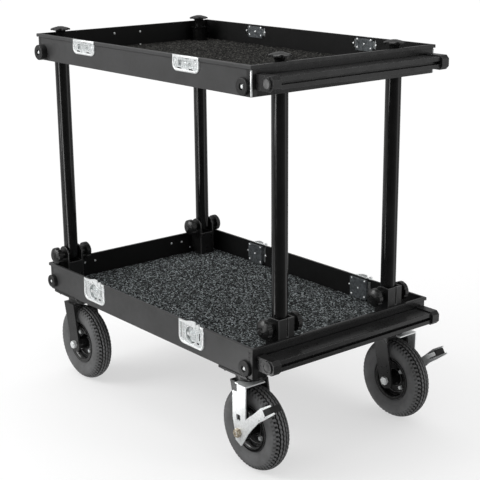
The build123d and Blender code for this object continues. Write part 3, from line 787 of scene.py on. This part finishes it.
def latch_details(corner):
    """Raised rims, the slide channel, the hook above the wall and the punched holes of one latch, the holes
    drawn in painted shade.
    """
    sy = CORNERS[corner][1]
    key = middle(f"butterfly_{corner}")
    face = outer_face("latch_dishes", sy)
    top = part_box("latch_dishes")[1].z
    place = wall_place(key.x, face - sy * 0.1 * MM, top, sy)
    rims = Shapes()
    bead(rims, rounded_u(46.2 * MM, -2.8 * MM, -56.8 * MM, 15.5 * MM), place, 6.4 * MM, 2.0 * MM)
    bead(rims, slot_outline(0, -30 * MM, 45 * MM, 45 * MM), place, 2.6 * MM, 1.0 * MM)
    bead(rims, slot_outline(-33.5 * MM, -27 * MM, 3 * MM, 44 * MM), place, 2.0 * MM, 1.2 * MM)
    for x, drop in ((-39.5, 50), (39.5, 28), (-27, 52), (8, 54)):
        rims.dome((key.x + x * MM, face, top - drop * MM), (0, sy, 0), 2.2 * MM, 1.3 * MM)
    rims.piece(f"latch_rims_{corner}", ZINC, "lower_tray")

    hook = Shapes()
    tongue = mm([(-22, -7), (21, -7), (21, 6), (17, 8), (4, 7), (-12, 3), (-22, 0)])
    keeper = mm([(28, -8), (36, -8), (37, 4), (33, 6), (28, 4)])
    for outline, thickness in ((tongue, 2.4 * MM), (keeper, 4.5 * MM)):
        hook.slab(outline, thickness, wall_place(key.x, face, top, sy))
    hook.piece(f"latch_hook_{corner}", ZINC, "lower_tray", 0.5)
    slots = [(-38.5, 26, 3.0, 40), (25.4, 5, 7.6, 12), (34, 27, 4.6, 20), (27, 45.5, 10, 6),
             (6, 10.5, 7, 4.2), (-16, 12, 4, 4), (-33.5, 47, 5, 4)]
    punched_slots(f"latch_{corner}", slots, key.x, top, face, sy, "lower_tray")


def catch_details(corner):
    """The raised rim, screws and punched slots of one catch plate, the slots drawn in painted shade."""
    sy = CORNERS[corner][1]
    key = middle(f"butterfly_{corner}")
    face = outer_face("catch_plates", sy)
    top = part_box("catch_plates")[1].z
    place = wall_place(key.x, face - sy * 0.1 * MM, top, sy)
    rims = Shapes()
    bead(rims, rounded_u(46.8 * MM, -2.8 * MM, -33.8 * MM, 13.2 * MM), place, 6.0 * MM, 1.8 * MM)
    for x, drop in ((-38, 15), (38, 15), (0, 31)):
        rims.dome((key.x + x * MM, face, top - drop * MM), (0, sy, 0), 2.2 * MM, 1.2 * MM)
    rims.piece(f"catch_rims_{corner}", ZINC, "upper_tray")
    slots = [(36, 8, 5, 3.4), (-24, 29, 14, 3.8), (20, 29.5, 16, 3.6), (6, 5.5, 18, 3.4)]
    punched_slots(f"catch_{corner}", slots, key.x, top, face, sy, "upper_tray")


# ---------------------------------------------------------------- small fittings

def bumper_details(level, corner):
    """A steel cup washer and a screw in the middle of one bumper."""
    sx, sy = CORNERS[corner]
    bumpers = NODES[f"bumpers_{level}"].data.vertices
    points = [v.co for v in bumpers if v.co.x * sx > 0 and v.co.y * sy > 0]
    x = (min(p.x for p in points) + max(p.x for p in points)) / 2
    z = (min(p.z for p in points) + max(p.z for p in points)) / 2
    recess_floor = sy * (max(p.y * sy for p in points) - 4 * MM)
    profile = mm([(0, -0.2), (5.2, -0.2), (5.2, 0.6), (3.9, 0.9), (3.7, 2.2), (2.4, 2.9), (0, 3.0)])
    shapes = Shapes()
    shapes.lathe((x, recess_floor, z), (0, sy, 0), profile)
    shapes.piece(f"bumper_screw_{level}_{corner}", ZINC, TRAY_BODY[level], 0.2)


def end_block_details(level):
    """The rough recessed disc in each end block's boss, and its set screw."""
    low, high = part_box(f"accessory_bar_{level}")
    x = high.x - 20.5 * MM
    z = (low.z + high.z) / 2
    profile = mm([(0, 0), (10.9, 0), (10.9, 0.5), (8.5, 1), (5.2, 0.6), (3.2, 0.9), (0, 0.7)])
    for side_name, side, end in (("right", -1, low.y), ("left", 1, high.y)):
        shapes = Shapes()
        shapes.lathe((x, end - side * 1.6 * MM, z), (0, side, 0), profile, steps=40)
        shapes.piece(f"boss_disc_{level}_{side_name}", RECESS, TRAY_BODY[level], 0.1)


def pedal_pad(side_name, sy):
    """The ribbed rubber block round the toe bar, between the prongs of a brake lever."""
    axle = middle(f"tyre_front_{side_name}")
    outer = outer_face(f"brake_lever_{side_name}", sy)
    width = 30 * MM
    proud = 0.4 * MM
    half_length = 14
    pitch, rib, rib_top, gap_top, underside = 5.6, 3.4, 8.2, 7.0, -7.4
    outline = []
    for k in range(5):
        x = pitch * k - half_length
        outline += [(x, rib_top), (x + rib, rib_top), (x + rib, gap_top), (x + pitch, gap_top)]
    outline += [(half_length, underside), (-half_length, underside)]
    lean = math.radians(33.3)
    along = Vector((math.cos(lean), 0, math.sin(lean)))
    across = Vector((-math.sin(lean), 0, math.cos(lean)))
    turn = Matrix((along, across, along.cross(across))).transposed().to_4x4()
    centre = Vector((axle.x + 102.2 * MM, outer - sy * (width / 2 - proud), axle.z + 85.6 * MM))
    place = Matrix.Translation(centre) @ turn @ Matrix.Translation((0, 0, -width / 2))
    shapes = Shapes()
    shapes.slab(mm(outline[::-1]), width, place)
    shapes.piece(f"pedal_pad_{side_name}", PAD, f"brake_lever_{side_name}", 0.5)


def knob_details(corner):
    """Centre caps on the star knob and on both clamp knobs."""
    sy = CORNERS[corner][1]
    star = f"star_knob_{corner}"
    centre = middle(star)
    profile = mm([(0, -0.6), (9.2, -0.6), (9.2, 0.2), (8, 0.5), (4.5, 0.15), (0, 0.4)])
    cap = Shapes()
    cap.lathe((centre.x, centre.y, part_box(star)[1].z - 0.5 * MM), (0, 0, 1), profile, steps=36)
    cap.piece(f"star_cap_{corner}", POST, star, 0.1)
    profile = mm([(0, -0.5), (9, -0.5), (9, 0.35), (7.8, 0.6), (6.8, 0.2), (0, 0.4)])
    for kind, side in (("bolt", sy), ("nut", -sy)):
        clamp = f"clamp_{kind}_{corner}"
        centre = middle(clamp)
        cap = Shapes()
        cap.lathe((centre.x, outer_face(clamp, side) - side * 0.7 * MM, centre.z), (0, side, 0), profile,
                  steps=36)
        cap.piece(f"clamp_cap_{kind}_{corner}", POST, clamp, 0.1)


def wall_rivets():
    """Bright rivet heads on the inside of the rear end walls, as (y, drop from the rim) in mm."""
    rivets = {"upper": ((-44, 17), (42, 18), (42, 55)),
              "lower": ((-173, 22), (-139, 22), (132, 22), (170, 24), (201, 46))}
    for level, places in rivets.items():
        wall_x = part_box(f"deck_board_{level}")[0].x
        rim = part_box(f"side_rails_{level}")[1].z
        shapes = Shapes()
        for y, drop in places:
            shapes.dome((wall_x, y * MM, rim - drop * MM), (1, 0, 0), 3.2 * MM, 1.8 * MM)
        shapes.piece(f"wall_rivets_{level}", ZINC, TRAY_BODY[level])


def corner_highlight_rods():
    """Painted highlight: a bright zinc rod where the rails meet at the upper tray's front corners, standing
    in for the light along the corner edge.
    """
    inset = 3 * MM
    buried = 1.2 * MM
    low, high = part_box("side_rails_upper")
    rod = mm([(0, 0), (2.0, 0), (2.2, 0.5), (2.2, 56.5), (0, 57)])
    for side_name, sign, y in (("right", -1, low.y), ("left", 1, high.y)):
        foot = (high.x - inset - buried, y - sign * inset - sign * buried, low.z + 1 * MM)
        highlight_rod = Shapes()
        highlight_rod.lathe(foot, (0, 0, 1), rod, steps=24)
        highlight_rod.piece(f"corner_highlight_{side_name}", ZINC, "upper_tray")


def age_front_nut():
    """The right front axle's nut has lost its bright plating."""
    nut_depth = 13 * MM
    piece = NODES["axle_front_right"]
    piece.data.materials.append(AGED)
    inner_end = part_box("axle_front_right")[0].y + nut_depth
    for polygon in piece.data.polygons:
        if polygon.center.y < inner_end:
            polygon.material_index = 1


# ---------------------------------------------------------------- stage, light and camera

def stage():
    """The floor, and a world that is white to the camera and the studio ring in reflections."""
    bpy.ops.mesh.primitive_plane_add(size=60, location=(0, 0, 0))
    floor = bpy.context.object
    floor.name = "studio_floor"
    floor.data.materials.append(plain_floor())
    world = bpy.data.worlds.new("studio")
    bpy.context.scene.world = world
    world.use_nodes = True
    tree = world.node_tree
    rays = tree.nodes.new("ShaderNodeLightPath")
    ring = studio_ring(tree, tree.nodes.new("ShaderNodeTexCoord").outputs["Generated"])
    lit = choose(tree, rays.outputs["Is Glossy Ray"], SKY_LIGHT, ring)
    strength = choose(tree, rays.outputs["Is Camera Ray"], lit, FLOOR_WHITE)
    tree.links.new(strength, tree.nodes["Background"].inputs["Strength"])
    tree.nodes["Background"].inputs["Color"].default_value = (1, 1, 1, 1)
    bpy.context.scene.view_settings.view_transform = "Standard"


def area_light(name, place, target, size, energy):
    """A soft rectangular lamp at a place, aimed at a target."""
    data = bpy.data.lights.new(name, "AREA")
    data.shape = "RECTANGLE"
    data.size, data.size_y = size
    data.energy = energy
    lamp = bpy.data.objects.new(name, data)
    bpy.context.scene.collection.objects.link(lamp)
    lamp.location = place
    lamp.rotation_mode = "QUATERNION"
    lamp.rotation_quaternion = (Vector(target) - Vector(place)).to_track_quat("-Z", "Y")


def camera():
    """A view from the front right, given by a place and by azimuth, elevation and roll in degrees."""
    place = (2.3353, -1.8738, 1.2852)
    azimuth, elevation, roll = (math.radians(v) for v in (51.05, 15.79, -0.52))
    back = Vector((math.sin(azimuth) * math.cos(elevation), -math.cos(azimuth) * math.cos(elevation),
                   math.sin(elevation)))
    right = (-back).cross(Vector((0, 0, 1))).normalized()
    up = right.cross(-back)
    rolled_right = math.cos(roll) * right + math.sin(roll) * up
    rolled_up = -math.sin(roll) * right + math.cos(roll) * up
    data = bpy.data.cameras.new("studio_camera")
    data.sensor_width = 36
    data.lens = 89.14
    lens = bpy.data.objects.new("studio_camera", data)
    bpy.context.scene.collection.objects.link(lens)
    turn = Matrix((rolled_right, rolled_up, back)).transposed().to_4x4()
    lens.matrix_world = Matrix.Translation(place) @ turn
    bpy.context.scene.camera = lens


dress_cad_nodes()
paint_shade_inside_trays()
bright_rivets()
age_front_nut()
for level, seed in (("lower", 7), ("upper", 11)):
    carpet(level, seed)
    end_block_details(level)
    for corner in CORNERS:
        bumper_details(level, corner)
for corner in CORNERS:
    tyre(corner)
    wheel_details(corner)
    latch_details(corner)
    catch_details(corner)
    knob_details(corner)
for side_name, sy in (("right", -1), ("left", 1)):
    pedal_pad(side_name, sy)
wall_rivets()
corner_highlight_rods()
stage()
area_light("key", (-1.7, -2.7, 2.5), (0, 0, 0.4), (2.2, 1.8), 62)
area_light("end", (3.4, 1.2, 1.9), (0, 0, 0.5), (0.8, 2.0), 10)
area_light("top", (-0.4, 0.3, 3.6), (0, 0, 0.4), (2.6, 2.6), 34)
camera()
